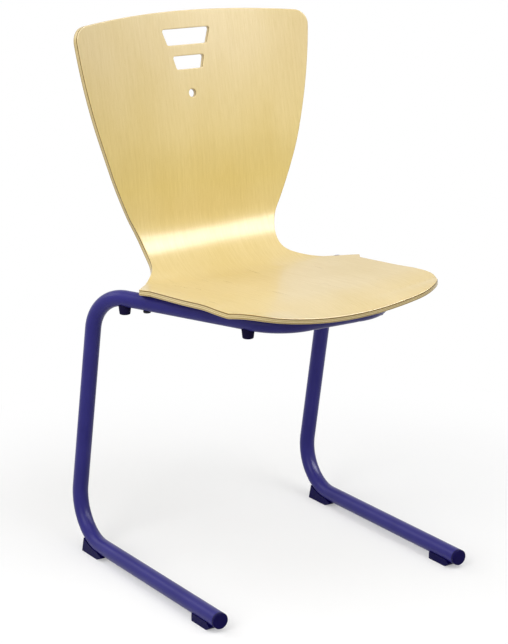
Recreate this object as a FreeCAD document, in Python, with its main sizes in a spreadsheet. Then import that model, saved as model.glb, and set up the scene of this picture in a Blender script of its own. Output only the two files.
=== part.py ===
import FreeCAD, Part

import math
import os

import Sketcher
from FreeCAD import Placement, Rotation, Vector

# School chair: one moulded plywood shell on a frame bent from a single steel tube.
# The sizes are millimetres and degrees. X runs across the chair, the sitter faces -Y and Z is
# up. The origin is on the floor, in the middle of the box that the chair fills.

# Driving sizes: alias, value, what it measures

FRAME_SIZES = [
    ("tube_diameter", 25, "outside of the frame tube"),
    ("tube_wall", 2, "wall of the frame tube"),
    ("upright_spacing", 441, "between the centre lines of the two uprights"),
    ("runner_length", 425.7, "from the heel corner to the open end of a floor runner"),
    ("floor_gap", 6, "underside of a runner above the floor"),
    ("upright_lean", 10.9, "uprights lean forward from vertical"),
    ("rail_height", 432, "centre line of the seat rails above the floor"),
    ("rail_depth", 316.9, "from the upper corner to the front bar, front to back"),
    ("front_bar_width", 196, "between the corner points of the front bar"),
    ("bend_radius", 70, "centre line of every bend in the tube"),
    ("bend_steps", 6, "short straight lengths that a bend is drawn with"),
]

SHELL_LINE_SIZES = [
    ("shell_thickness", 9, "moulded plywood"),
    ("overall_height", 837.7, "middle of the top edge above the floor"),
    ("front_overhang", 44, "front edge ahead of the front bar's centre line"),
    ("front_fall", 5.9, "seat slopes down towards the front where it meets the front bar"),
    ("front_radius", 390, "waterfall curve of the front of the seat"),
    ("seat_flat", 195.3, "straight run of the seat, front to back"),
    ("seat_pitch", 4.03, "seat rises towards the front"),
    ("seat_bend_radius", 94.8, "tight curve between seat and back"),
    ("lumbar_flat", 66.6, "straight run above the tight curve"),
    ("lumbar_lean", 4.68, "lean of the lower back from vertical"),
    ("back_radius", 414, "gentle curve of the back"),
    ("back_lean", 11.78, "lean of the upper back from vertical"),
]

SHELL_CROSS_SIZES = [
    ("top_cross_radius", 684, "curve across the back at the top edge"),
    ("back_cross_radius", 820, "curve across the lower back"),
    ("neck_cross_radius", 716, "curve across the neck"),
    ("seat_cross_radius", 1530, "curve across the middle of the seat"),
    ("bar_cross_radius", 1218, "curve across the seat over the front bar"),
    ("lip_cross_radius", 461, "curve across the front lip"),
]

SHELL_OUTLINE_SIZES = [
    ("back_width", 429.2, "widest span of the side arcs of the back"),
    ("widest_rise", 37.3, "that widest span lies this far above the top edge"),
    ("top_arch_radius", 1303, "arch of the top edge"),
    ("top_corner_radius", 24, "corners of the top edge"),
    ("neck_width", 240.9, "narrowest part, between back and seat"),
    ("neck_drop", 72.5, "narrowest part below the start of the tight curve"),
    ("neck_upper_radius", 146.5, "side arc above the neck"),
    ("neck_lower_radius", 51.5, "side arc below the neck"),
    ("ear_flare", 39.2, "rear edges of the seat spread outwards"),
    ("ear_width", 407, "over the two ears that lie on the rails"),
    ("seat_width", 386.5, "over the straight sides of the seat"),
    ("notch_lean", 34, "edge from the ear's tip to the side of the seat"),
    ("ear_tip_radius", 4, "rounded tip of an ear"),
    ("notch_radius", 5, "hollow corner in front of an ear"),
    ("front_corner_radius", 72, "front corners of the seat"),
]

SLOT_SIZES = [
    ("upper_slot_drop", 28, "top of the upper hand slot below the top edge"),
    ("upper_slot_height", 25.4, "upper hand slot"),
    ("upper_slot_top", 89, "upper hand slot along its top"),
    ("upper_slot_bottom", 72, "upper hand slot along its bottom"),
    ("slot_bridge", 17.3, "wood left between the two slots"),
    ("lower_slot_height", 20.9, "lower hand slot"),
    ("lower_slot_top", 58, "lower hand slot along its top"),
    ("lower_slot_bottom", 47, "lower hand slot along its bottom"),
    ("slot_corner", 3.5, "corners of both slots"),
    ("hole_drop", 129.8, "middle of the round hole below the top edge"),
    ("hole_diameter", 13, "round hole below the slots"),
]

FASTENER_SIZES = [
    ("screw_diameter", 6, "shank of a shell screw"),
    ("screw_head_diameter", 12, "low head of a shell screw"),
    ("screw_head_height", 3, "low head of a shell screw"),
    ("screw_head_bevel", 0.8, "bevel round a screw's head"),
    ("screw_socket", 4, "hexagon socket, across its flats"),
    ("screw_socket_depth", 1.6, "hexagon socket"),
    ("screw_grip", 5, "shank inside its insert"),
    ("insert_diameter", 9, "threaded insert in the shell"),
    ("insert_length", 6.6, "threaded insert in the shell"),
    ("insert_recess", 0.6, "insert set back from the underside of the shell"),
    ("ear_screw_setback", 9, "rear screws behind the ear tips, along the shell"),
    ("front_screw_spacing", 80, "between the two screws in the front bar"),
]

PLASTIC_SIZES = [
    ("cradle_depth", 6.3, "walls of a foot end this far below the tube's centre line"),
    ("rear_foot_lap", 1.5, "rear foot's sole ends this far past the end of the bend"),
    ("rear_foot_sole", 47.5, "length of a rear foot's sole"),
    ("rear_foot_nose", 14, "nose of a rear foot past its sole"),
    ("rear_foot_height", 24.8, "rear face of a rear foot"),
    ("rear_foot_lean", 6.4, "rear face of a rear foot, run over its height"),
    ("front_foot_sole", 41, "length of a front foot's sole"),
    ("front_foot_nose", 7.5, "nose of a front foot past its sole"),
    ("front_foot_inset", 7.2, "nose of a front foot behind the open end of its runner"),
    ("foot_nose_round", 7, "rounded front of a sole"),
    ("peg_diameter", 8, "peg that holds a foot in the tube"),
    ("peg_reach", 3, "peg past the inside of the tube wall"),
    ("rear_peg_setback", 8, "rear foot's peg behind the end of the bend"),
    ("front_peg_setback", 34, "front foot's peg behind the open end of the runner"),
    ("cap_face", 5.5, "end cap past the end of the tube"),
    ("cap_bevel", 1.2, "bevelled rim of an end cap"),
    ("cap_stem", 18, "stem of an end cap inside the tube"),
    ("buffer_top", 20, "diameter of a table buffer at the tube"),
    ("buffer_bottom", 16.5, "diameter of a table buffer at its lower end"),
    ("buffer_drop", 12, "table buffer below the tube"),
    ("buffer_saddle", 3, "table buffer rises this far up the sides of the tube"),
    ("buffer_bevel", 1, "lower rim of a table buffer"),
    ("buffer_peg", 6, "diameter of a table buffer's peg"),
    ("rear_buffer_lap", 2, "rear buffer's axis behind the start of the straight rail"),
    ("front_buffer_setback", 50.4, "front buffer's axis behind the front bar"),
]

CLEARANCES = [
    ("seat_gap", 0.3, "shell above the tube that carries it"),
    ("fit_gap", 0.15, "radial gap of pegs, saddles and inserts"),
    ("drill_gap", 0.3, "radial gap of a screw in the tube"),
    ("head_gap", 0.5, "radial gap of a sunk screw's head in the tube"),
]

ALL_SIZES = (FRAME_SIZES + SHELL_LINE_SIZES + SHELL_CROSS_SIZES + SHELL_OUTLINE_SIZES
             + SLOT_SIZES + FASTENER_SIZES + PLASTIC_SIZES + CLEARANCES)


# Sheet of sizes, and numbers that carry their formula along

document = FreeCAD.newDocument("school_chair")
sheet = document.addObject("Spreadsheet::Sheet", "sizes")
sheet_rows = 0


def write_size(alias, value, note):
    """Put one named number into the next row of the sheet."""
    global sheet_rows
    sheet_rows += 1
    sheet.set(f"A{sheet_rows}", note)
    sheet.set(f"B{sheet_rows}", str(value))
    sheet.setAlias(f"B{sheet_rows}", alias)


class Size:
    """A number together with the sheet formula that gives it."""

    def __init__(self, value, formula):
        self.value = float(value)
        self.formula = formula

    def __float__(self):
        return self.value

    def __add__(self, other):
        return Size(self.value + float(other), f"({self.formula} + {formula_of(other)})")

    def __sub__(self, other):
        return Size(self.value - float(other), f"({self.formula} - {formula_of(other)})")

    def __mul__(self, other):
        return Size(self.value * float(other), f"({self.formula} * {formula_of(other)})")

    def __truediv__(self, other):
        return Size(self.value / float(other), f"({self.formula} / {formula_of(other)})")

    def __neg__(self):
        return self * -1

    __radd__ = __add__
    __rmul__ = __mul__


def formula_of(number):
    """The text that stands for a number in a sheet formula."""
    return number.formula if isinstance(number, Size) else f"({float(number)})"


def tie(item, field, size):
    """Give a property its size, and let it follow the sheet."""
    item.setExpression(field, size.formula)


size = {}
mm = {}


def fill_sheet(rows):
    """Write rows of named numbers and read them back, tied and plain."""
    for alias, value, note in rows:
        write_size(alias, value, note)
    document.recompute()
    for alias, value, note in rows:
        size[alias] = Size(sheet.get(alias), f"sizes.{alias}")
        mm[alias] = float(size[alias])


fill_sheet(ALL_SIZES)


# Tube: plain geometry of its centre line, with Y still measured from the heel corner

tube_radius = mm["tube_diameter"] / 2
runner_height = mm["floor_gap"] + tube_radius
rail_top = mm["rail_height"] + tube_radius
upper_corner_y = -(mm["rail_height"] - runner_height) * math.tan(math.radians(mm["upright_lean"]))
front_bar_y = upper_corner_y - mm["rail_depth"]


def rail_x(y):
    """Half the distance between the two rails' centre lines at a place along the chair."""
    forward = (upper_corner_y - y) / mm["rail_depth"]
    return (mm["upright_spacing"] + (mm["front_bar_width"] - mm["upright_spacing"]) * forward) / 2


def rounded_path(corners, radii):
    """A wire through corner points, with a tangent arc in place of each inner corner."""
    edges = []
    start = corners[0]
    for before, corner, after, radius in zip(corners, corners[1:], corners[2:], radii):
        arriving = (corner - before).normalize()
        leaving = (after - corner).normalize()
        half_turn = arriving.getAngle(leaving) / 2
        tangent = radius * math.tan(half_turn)
        inward = (leaving - arriving).normalize()
        arc_start = corner - arriving * tangent
        arc_middle = corner + inward * (radius / math.cos(half_turn) - radius)
        arc_end = corner + leaving * tangent
        edges.append(Part.LineSegment(start, arc_start).toShape())
        edges.append(Part.Arc(arc_start, arc_middle, arc_end).toShape())
        start = arc_end
    edges.append(Part.LineSegment(start, corners[-1]).toShape())
    return Part.Wire(edges)


def bend_tangent(before, corner, after):
    """Length of straight tube that a bend takes up on either side of its corner."""
    turn = (corner - before).getAngle(after - corner)
    return mm["bend_radius"] * math.tan(turn / 2)


def stepped_path(corners, radius, steps):
    """Straight runs whose bends are short chords, none of them far enough off the arc to see."""
    points = [corners[0]]
    for before, corner, after in zip(corners, corners[1:], corners[2:]):
        arriving = (corner - before).normalize()
        leaving = (after - corner).normalize()
        turn = arriving.getAngle(leaving)
        start = corner - arriving * radius * math.tan(turn / 2)
        inward = (leaving - arriving * math.cos(turn)) / math.sin(turn)
        for step in range(steps + 1):
            angle = turn * step / steps
            points.append(start + arriving * radius * math.sin(angle)
                          + inward * radius * (1 - math.cos(angle)))
    points.append(corners[-1])
    return Part.makePolygon(points)


def tube_corners(heel_y):
    """Corner points of the whole tube, from one open end to the other."""
    half = mm["upright_spacing"] / 2
    side = [
        Vector(half, heel_y - mm["runner_length"], runner_height),
        Vector(half, heel_y, runner_height),
        Vector(half, heel_y + upper_corner_y, mm["rail_height"]),
        Vector(mm["front_bar_width"] / 2, heel_y + front_bar_y, mm["rail_height"]),
    ]
    return side + [Vector(-corner.x, corner.y, corner.z) for corner in reversed(side)]


heel_bend = bend_tangent(*tube_corners(0)[0:3])
upper_tangent = bend_tangent(*tube_corners(0)[1:4])
rail_direction = (tube_corners(0)[3] - tube_corners(0)[2]).normalize()
straight_rail_y = upper_corner_y + rail_direction.y * upper_tangent


# Shell: its centre line seen from the side, as straight runs and tangent arcs

def advance(state, length, curvature):
    """Go along the sitter's face of the shell from (y, z, angle).

    The angle is that of the way of going, from straight down (0) towards the front (90).
    """
    y, z, angle = state
    turned = angle + curvature * length
    if curvature == 0:
        return (y - math.sin(angle) * length, z - math.cos(angle) * length, angle)
    ahead = (math.cos(turned) - math.cos(angle)) / curvature
    down = (math.sin(turned) - math.sin(angle)) / curvature
    return (y + ahead, z - down, turned)


def lean_arc(radius, start_angle, end_angle):
    """Length and curvature of an arc between two angles of the centre line."""
    turn = end_angle - start_angle
    return (abs(turn) * radius, math.copysign(1 / radius, turn))


angle_back = math.radians(mm["back_lean"])
angle_lumbar = math.radians(mm["lumbar_lean"])
angle_seat = math.radians(90 + mm["seat_pitch"])
angle_bar = math.radians(90 - mm["front_fall"])

# the shell rests on the front bar, so its line is laid out from there
bar_stand_off = tube_radius + mm["seat_gap"] + mm["shell_thickness"]
bar_state = (
    front_bar_y - math.cos(angle_bar) * bar_stand_off,
    mm["rail_height"] + math.sin(angle_bar) * bar_stand_off,
    angle_bar,
)

# stretches from the back down to the bar, as (length, curvature)
stretches = [
    lean_arc(mm["back_radius"], angle_back, angle_lumbar),
    (mm["lumbar_flat"], 0),
    lean_arc(mm["seat_bend_radius"], angle_lumbar, angle_seat),
    (mm["seat_flat"], 0),
    lean_arc(mm["front_radius"], angle_seat, angle_bar),
]
starts = [bar_state]
for length, curvature in reversed(stretches):
    starts.insert(0, advance(starts[0], -length, curvature))

upper_back_length = (mm["overall_height"] - starts[0][1]) / math.cos(angle_back)
starts.insert(0, advance(starts[0], -upper_back_length, 0))
stretches.insert(0, (upper_back_length, 0))
lip_length = mm["front_overhang"] + 2 * mm["shell_thickness"]
stretches.append((lip_length, -1 / mm["front_radius"]))

stations = [0]
for length, curvature in stretches:
    stations.append(stations[-1] + length)
(station_top, station_back, station_lumbar, station_bend, station_seat, station_front,
 station_bar, station_end) = stations


def shell_state(station):
    """(y, z, angle) of the sitter's face at a distance below the top edge."""
    index = 0
    while index < len(stretches) - 1 and station > stations[index + 1]:
        index += 1
    return advance(starts[index], station - stations[index], stretches[index][1])


# Shell: half its width along the line

neck_station = station_bend + mm["neck_drop"]
neck_half = mm["neck_width"] / 2
widest_half = mm["back_width"] / 2
flare = math.radians(mm["ear_flare"])

# side arc of the back: level at its widest span and tangent to the arc above the neck
side_run = neck_station + mm["widest_rise"]
side_rise = neck_half + mm["neck_upper_radius"] - widest_half
side_radius = ((side_run ** 2 + side_rise ** 2 - mm["neck_upper_radius"] ** 2)
               / (2 * (mm["neck_upper_radius"] - side_rise)))
side_share = side_radius / (side_radius + mm["neck_upper_radius"])
side_meets_neck = side_run * side_share - mm["widest_rise"]
flare_station = neck_station + mm["neck_lower_radius"] * math.sin(flare)
flare_half = neck_half + mm["neck_lower_radius"] * (1 - math.cos(flare))


def sagitta(radius, run):
    """Drop of an arc at a distance along its tangent."""
    return radius - math.sqrt(radius ** 2 - run ** 2)


def half_width(station):
    if station < side_meets_neck:
        return widest_half - sagitta(side_radius, station + mm["widest_rise"])
    if station < neck_station:
        return neck_half + sagitta(mm["neck_upper_radius"], neck_station - station)
    if station < flare_station:
        return neck_half + sagitta(mm["neck_lower_radius"], station - neck_station)
    return flare_half + (station - flare_station) * math.tan(flare)


ear_half = mm["ear_width"] / 2
ear_station = flare_station + (ear_half - flare_half) / math.tan(flare)
ear_tip_y = shell_state(ear_station)[0]
ear_screw_station = ear_station - mm["ear_screw_setback"]
ear_screw_y = shell_state(ear_screw_station)[0]

# past the ear tips the lofted strip levels off, outside the plan that the seat is trimmed to
spare_half = 2 * mm["shell_thickness"]
level_station = ear_station + 3 * spare_half / math.tan(flare)


def strip_half(station):
    """Half the width of the lofted strip."""
    past = max(0, station - ear_station) * math.tan(flare) / spare_half
    return half_width(min(station, ear_station)) + spare_half * (1 - math.exp(-past))


# Shell: curve across. The ears rest on the rails, which fixes the curve there.

def over_rail(station):
    """Whether the ear's rear edge reaches past the crown of the rail."""
    return half_width(station) > rail_x(shell_state(station)[0])


first_ear_steps = range(int(ear_station - flare_station))
landing_station = next(flare_station + step for step in first_ear_steps
                       if over_rail(flare_station + step))
landing_y, landing_z, landing_angle = shell_state(landing_station)
landing_half = rail_x(landing_y)
landing_rise = ((rail_top + mm["seat_gap"] + mm["shell_thickness"] - landing_z)
                / math.sin(landing_angle))
landing_curve = 2 * landing_rise / (landing_half ** 2 + landing_rise ** 2)

cross_curves = [
    (station_top, 1 / mm["top_cross_radius"]),
    (station_lumbar, 1 / mm["back_cross_radius"]),
    ((station_bend + neck_station) / 2, 1 / mm["neck_cross_radius"]),
    (station_seat, landing_curve),
    (ear_station, landing_curve),
    ((ear_station + station_bar) / 2, 1 / mm["seat_cross_radius"]),
    (station_bar, 1 / mm["bar_cross_radius"]),
    (station_end, 1 / mm["lip_cross_radius"]),
]


def cross_curve(station):
    """Curvature across the shell, eased between the stations that set it."""
    for (start, first), (end, second) in zip(cross_curves, cross_curves[1:]):
        if station <= end:
            share = max(0.0, (station - start) / (end - start))
            return first + (second - first) * share
    return cross_curves[-1][1]


def cross_rise(station, x):
    """How far the sitter's face comes forward or up at a distance from the centre line."""
    bend = cross_curve(station)
    return bend * x ** 2 / (1 + math.sqrt(1 - (bend * x) ** 2))


def underside_height(station, x):
    y, z, angle = shell_state(station)
    return z + (cross_rise(station, x) - mm["shell_thickness"]) * math.sin(angle)


# Chair box: rear of the top edge and front edge of the seat put the origin midway

rear_y = shell_state(0)[0] + mm["shell_thickness"] / math.cos(angle_back)
front_y = front_bar_y - mm["front_overhang"]
rear_buffer_y = straight_rail_y + mm["rear_buffer_lap"]
front_buffer_y = front_bar_y + mm["front_buffer_setback"]
fill_sheet([
    ("heel_y", -(rear_y + front_y) / 2, "worked out: heel corner behind the middle"),
    ("heel_tangent", heel_bend, "worked out: end of the lower bend ahead of the heel corner"),
    ("rear_buffer_ahead", -rear_buffer_y, "worked out: rear buffer ahead of the heel corner"),
    ("rear_buffer_out", rail_x(rear_buffer_y), "worked out: rear buffer from the middle"),
    ("front_buffer_ahead", -front_buffer_y, "worked out: front buffer ahead of the heel corner"),
    ("front_buffer_out", rail_x(front_buffer_y), "worked out: front buffer from the middle"),
])
heel_y = mm["heel_y"]


# Small makers for sketches, features and finished pieces

pieces = {}


def finish(name, item):
    """A finished sub-part: its label is the name of its node."""
    item.Label = name
    pieces[name] = item


def plane_of(body, role):
    return next(item for item in body.Origin.OriginFeatures if item.Role == role)


def new_sketch(body, name, role):
    sketch = body.newObject("Sketcher::SketchObject", name)
    sketch.AttachmentSupport = [(plane_of(body, role), "")]
    sketch.MapMode = "FlatFace"
    return sketch


def pin_point(sketch, geometry, end, corner):
    """Hold one end of a sketch line at its two distances from the sketch's origin."""
    for kind, distance in zip(("DistanceX", "DistanceY"), corner):
        rule = Sketcher.Constraint(kind, -1, 1, geometry, end, float(distance))
        number = sketch.addConstraint(rule)
        if isinstance(distance, Size):
            tie(sketch, f"Constraints[{number}]", distance)


def draw_outline(sketch, corners):
    """A closed outline of straight lines through its corners."""
    count = len(corners)
    points = [Vector(float(across), float(up), 0) for across, up in corners]
    for index in range(count):
        sketch.addGeometry(Part.LineSegment(points[index], points[(index + 1) % count]))
    for index in range(count):
        joint = Sketcher.Constraint("Coincident", index, 2, (index + 1) % count, 1)
        sketch.addConstraint(joint)
    for index, corner in enumerate(corners):
        pin_point(sketch, index, 1, corner)


def draw_circle(sketch, centre, radius):
    middle = Vector(float(centre[0]), float(centre[1]), 0)
    sketch.addGeometry(Part.Circle(middle, Vector(0, 0, 1), float(radius)))
    pin_point(sketch, 0, 3, centre)
    number = sketch.addConstraint(Sketcher.Constraint("Radius", 0, float(radius)))
    tie(sketch, f"Constraints[{number}]", radius)


def new_body(name):
    body = document.addObject("PartDesign::Body", name)
    document.recompute()
    return body


def put(item, x, y, z, rotation=Rotation()):
    """Place a piece; sizes among its coordinates stay tied to the sheet."""
    item.Placement = Placement(Vector(float(x), float(y), float(z)), rotation)
    for axis, distance in zip("xyz", (x, y, z)):
        if isinstance(distance, Size):
            tie(item, f"Placement.Base.{axis}", distance)


def turn_profile(body, name, corners, role, axis):
    """A solid of revolution from a half profile."""
    sketch = new_sketch(body, f"{name}_profile", role)
    draw_outline(sketch, corners)
    turned = body.newObject("PartDesign::Revolution", f"{name}_turned")
    turned.Profile = sketch
    turned.ReferenceAxis = (sketch, [axis])
    turned.Angle = 360
    document.recompute()
    return turned


def round_edges(body, name, base, wanted, radius):
    """Fillet the edges of a feature that a test picks out."""
    names = [f"Edge{number}" for number, edge in enumerate(base.Shape.Edges, 1) if wanted(edge)]
    rounded = body.newObject("PartDesign::Fillet", f"{name}_rounded")
    rounded.Base = (base, names)
    tie(rounded, "Radius", radius)
    document.recompute()
    return rounded


def cut(name, base, tool):
    """Take a tool out of a base, and see that it took something."""
    item = document.addObject("Part::Cut", name)
    item.Base = base
    item.Tool = tool
    document.recompute()
    if not 0 < item.Shape.Volume < base.Shape.Volume:
        raise ValueError(f"{name} took nothing away")
    return item


def join(name, items):
    item = document.addObject("Part::MultiFuse", name)
    item.Shapes = items
    document.recompute()
    return item


# Frame tube: a round section swept along the bent centre line, bored and drilled

corners = tube_corners(heel_y)
centre_line = document.addObject("Part::Feature", "tube_centre_line")
centre_line.Shape = stepped_path(corners, mm["bend_radius"], int(mm["bend_steps"]))


def sweep_tube(name, radius):
    ring = document.addObject("Part::Circle", f"{name}_ring")
    tie(ring, "Radius", radius)
    ring.Placement = Placement(corners[0], Rotation(Vector(0, 0, 1), Vector(0, 1, 0)))
    swept = document.addObject("Part::Sweep", name)
    swept.Sections = [ring]
    swept.Spine = (centre_line, [f"Edge{n + 1}" for n in range(len(centre_line.Shape.Edges))])
    swept.Solid = True
    swept.Transition = "Right corner"
    document.recompute()
    return swept


bore_radius = size["tube_diameter"] / 2 - size["tube_wall"]
tube_rod = sweep_tube("tube_rod", size["tube_diameter"] / 2)
tube_bore = sweep_tube("tube_bore", bore_radius)
tube_envelope = sweep_tube("tube_envelope", size["tube_diameter"] / 2 + size["fit_gap"])
bored_tube = cut("bored_tube", tube_rod, tube_bore)

half_spacing = mm["upright_spacing"] / 2
rear_peg_y = -heel_bend + mm["rear_peg_setback"]
front_peg_y = -mm["runner_length"] + mm["front_peg_setback"]

# the rail screws go right through; the bar screws are sunk through a wider hole from below
rail_screw_spots = [(side * rail_x(ear_screw_y), ear_screw_y) for side in (-1, 1)]
bar_screw_spots = [(side * mm["front_screw_spacing"] / 2, front_bar_y) for side in (-1, 1)]
bore_chord = sagitta(float(bore_radius), mm["screw_head_diameter"] / 2)
sunk_depth = size["tube_wall"] + size["fit_gap"] + bore_chord

drillings = []
for side in (-1, 1):
    for peg_y in (rear_peg_y, front_peg_y):
        spot = Vector(side * half_spacing, heel_y + peg_y, 0)
        radius = mm["peg_diameter"] / 2 + mm["fit_gap"]
        drillings.append(Part.makeCylinder(radius, runner_height, spot))
    for buffer_y in (rear_buffer_y, front_buffer_y):
        spot = Vector(side * rail_x(buffer_y), heel_y + buffer_y, mm["rail_height"])
        radius = mm["buffer_peg"] / 2 + mm["fit_gap"]
        drillings.append(Part.makeCylinder(radius, tube_radius * 2, spot, Vector(0, 0, -1)))
shank_hole = mm["screw_diameter"] / 2 + mm["drill_gap"]
head_hole = mm["screw_head_diameter"] / 2 + mm["head_gap"]
for x, y in rail_screw_spots:
    spot = Vector(x, heel_y + y, mm["rail_height"] - tube_radius * 2)
    drillings.append(Part.makeCylinder(shank_hole, tube_radius * 4, spot))
for x, y in bar_screw_spots:
    spot = Vector(x, heel_y + y, mm["rail_height"])
    drillings.append(Part.makeCylinder(shank_hole, tube_radius * 2, spot))
    drillings.append(Part.makeCylinder(head_hole, tube_radius * 2, spot, Vector(0, 0, -1)))

tube_drillings = document.addObject("Part::Feature", "tube_drillings")
tube_drillings.Shape = Part.makeCompound(drillings)
finish("frame_tube", cut("drilled_tube", bored_tube, tube_drillings))


# Seat shell: a loft through curved strips square to the centre line, then trimmed

def shell_section(station, across):
    """One strip of the shell: two concentric arcs joined by square ends."""
    y, z, angle = shell_state(station)
    normal = Vector(0, -math.cos(angle), math.sin(angle))
    centre = Vector(0, heel_y + y, z)
    rise = cross_rise(station, across)
    tilt = 2 * math.atan2(rise, across)
    thickness = mm["shell_thickness"]
    rear_across = across + thickness * math.sin(tilt)
    rear_rise = rise - thickness * math.cos(tilt)

    def at(x, height):
        return centre + Vector(x, 0, 0) + normal * height

    face = [at(-across, rise), at(0, 0), at(across, rise)]
    rear = [at(rear_across, rear_rise), at(0, -thickness), at(-rear_across, rear_rise)]
    edges = [
        Part.Arc(*face).toShape(),
        Part.LineSegment(face[2], rear[0]).toShape(),
        Part.Arc(*rear).toShape(),
        Part.LineSegment(rear[2], face[0]).toShape(),
    ]
    return Part.Wire(edges)


def spread(start, end, longest):
    """Even steps from start up to, but not including, end."""
    count = max(1, math.ceil((end - start) / longest))
    return [start + (end - start) * step / count for step in range(count)]


above_top = -mm["top_corner_radius"]
section_stations = (
    spread(above_top, station_back, 40)
    + spread(station_back, station_bend, 30)
    + spread(station_bend, station_seat, 15)
    + spread(station_seat, ear_station, 18)
    + spread(ear_station, level_station, 12)
    + spread(level_station, station_front, 45)
    + spread(station_front, station_end, 30)
    + [station_end]
)
sections = [shell_section(station, strip_half(station)) for station in section_stations]
blank = Part.makeLoft(sections, True, False)

# frame of the flat upper back: points on it are given by distance across and below the top
top_y, top_z, top_angle = shell_state(0)
back_origin = Vector(0, heel_y + top_y, top_z)
down_back = Vector(0, -math.sin(top_angle), -math.cos(top_angle))
out_of_back = Vector(0, -math.cos(top_angle), math.sin(top_angle))


def on_back(across, drop):
    return back_origin + Vector(across, 0, 0) + down_back * drop


def through_back(wire):
    """A block through the upper back, square to it."""
    reach = mm["back_width"] / 2
    face = Part.Face(wire)
    face.translate(out_of_back * -reach)
    return face.extrude(out_of_back * 2 * reach)


def closed_outline(corners, radius):
    """A closed outline whose corners are all rounded alike."""
    start = (corners[-1] + corners[0]) / 2
    ring = [start] + corners + [start]
    return rounded_path(ring, [radius] * len(corners))


def slot(drop, height, top_width, bottom_width):
    corners = [
        on_back(-top_width / 2, drop),
        on_back(top_width / 2, drop),
        on_back(bottom_width / 2, drop + height),
        on_back(-bottom_width / 2, drop + height),
    ]
    return through_back(closed_outline(corners, mm["slot_corner"]))


lower_slot_drop = mm["upper_slot_drop"] + mm["upper_slot_height"] + mm["slot_bridge"]
hand_slots = [
    slot(mm["upper_slot_drop"], mm["upper_slot_height"],
         mm["upper_slot_top"], mm["upper_slot_bottom"]),
    slot(lower_slot_drop, mm["lower_slot_height"],
         mm["lower_slot_top"], mm["lower_slot_bottom"]),
]
hole_ring = Part.makeCircle(mm["hole_diameter"] / 2, on_back(0, mm["hole_drop"]), out_of_back)
round_hole = through_back(Part.Wire(hole_ring))

# everything above the arched top edge
arch_half = mm["back_width"]
arch_drop = sagitta(mm["top_arch_radius"], arch_half)
arch = Part.Arc(on_back(-arch_half, arch_drop), on_back(0, 0), on_back(arch_half, arch_drop))
above = on_back(arch_half, above_top * 2)
above_left = on_back(-arch_half, above_top * 2)
above_arch = through_back(Part.Wire([
    arch.toShape(),
    Part.LineSegment(on_back(arch_half, arch_drop), above).toShape(),
    Part.LineSegment(above, above_left).toShape(),
    Part.LineSegment(above_left, on_back(-arch_half, arch_drop)).toShape(),
]))

# everything outside the plan of the seat, from the ears forward
seat_half = mm["seat_width"] / 2
notch_slope = math.tan(math.radians(mm["notch_lean"]))
notch_y = ear_tip_y - (ear_half - seat_half) / notch_slope
outside_x = ear_half + mm["ear_width"] / 4
outside_rear_y = notch_y + (outside_x - seat_half) / notch_slope
ahead_y = front_y - mm["front_overhang"]
plan_floor = shell_state(station_end)[1] - 2 * mm["shell_thickness"]
plan_height = ear_half


def seat_trim(side):
    def plan(x, y):
        return Vector(side * x, heel_y + y, plan_floor)

    inner = rounded_path(
        [plan(outside_x, outside_rear_y), plan(seat_half, notch_y),
         plan(seat_half, front_y), plan(0, front_y)],
        [mm["notch_radius"], mm["front_corner_radius"]])
    outer = Part.makePolygon([plan(0, front_y), plan(0, ahead_y), plan(outside_x, ahead_y),
                              plan(outside_x, outside_rear_y)])
    face = Part.Face(Part.Wire(inner.Edges + outer.Edges))
    return face.extrude(Vector(0, 0, plan_height))


# blind holes for the inserts, from below
insert_spots = []
insert_holes = []
shell_screw_spots = ([(x, y, ear_screw_station) for x, y in rail_screw_spots]
                     + [(x, y, station_bar) for x, y in bar_screw_spots])
for x, y, station in shell_screw_spots:
    foot = Vector(x, heel_y + y, underside_height(station, x) + mm["insert_recess"])
    insert_spots.append(foot)
    radius = mm["insert_diameter"] / 2 + mm["fit_gap"]
    below = Vector(0, 0, mm["shell_thickness"])
    depth = mm["shell_thickness"] + mm["insert_length"] + mm["fit_gap"]
    insert_holes.append(Part.makeCylinder(radius, depth, foot - below))

trims = hand_slots + [round_hole, above_arch, seat_trim(1), seat_trim(-1)] + insert_holes
trimmed = blank.cut(trims)


def edges_through(shape, across, station):
    """The two edges that cross the thickness of the shell near a place on its outline."""
    y, z, angle = shell_state(station)
    thickness = mm["shell_thickness"]
    rise = cross_rise(station, across)
    spot = Vector(across, heel_y + y - math.cos(angle) * rise, z + math.sin(angle) * rise)
    found = []
    for edge in shape.Edges:
        middle = edge.valueAt((edge.FirstParameter + edge.LastParameter) / 2)
        near = Vector(abs(middle.x), middle.y, middle.z).distanceToPoint(spot) < thickness
        if near and abs(edge.Length - thickness) < thickness / 10:
            found.append(edge)
    return found


top_corner_station = sagitta(mm["top_arch_radius"], half_width(0))
top_corners = edges_through(trimmed, half_width(top_corner_station), top_corner_station)
arched = trimmed.makeFillet(mm["top_corner_radius"], top_corners)
ear_tips = edges_through(arched, ear_half, ear_station)
shell = arched.makeFillet(mm["ear_tip_radius"], ear_tips)

moulded_shell = document.addObject("Part::Feature", "moulded_shell")
moulded_shell.Shape = shell
finish("seat_shell", moulded_shell)


# Feet: a block under the tube, hollowed to its round, with a peg up into it

runner_axis = size["floor_gap"] + size["tube_diameter"] / 2
wall_line = runner_axis - size["cradle_depth"]
sides = [("left", 1), ("right", -1)]


def foot_outline(sole_start, sole_end, nose, rear_points):
    """Side outline of a foot, as distances ahead of the heel corner and above the floor."""
    return ([(-sole_start, 0)] + rear_points
            + [(-sole_end, wall_line), (-(sole_end + nose), size["floor_gap"]), (-sole_end, 0)])


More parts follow.
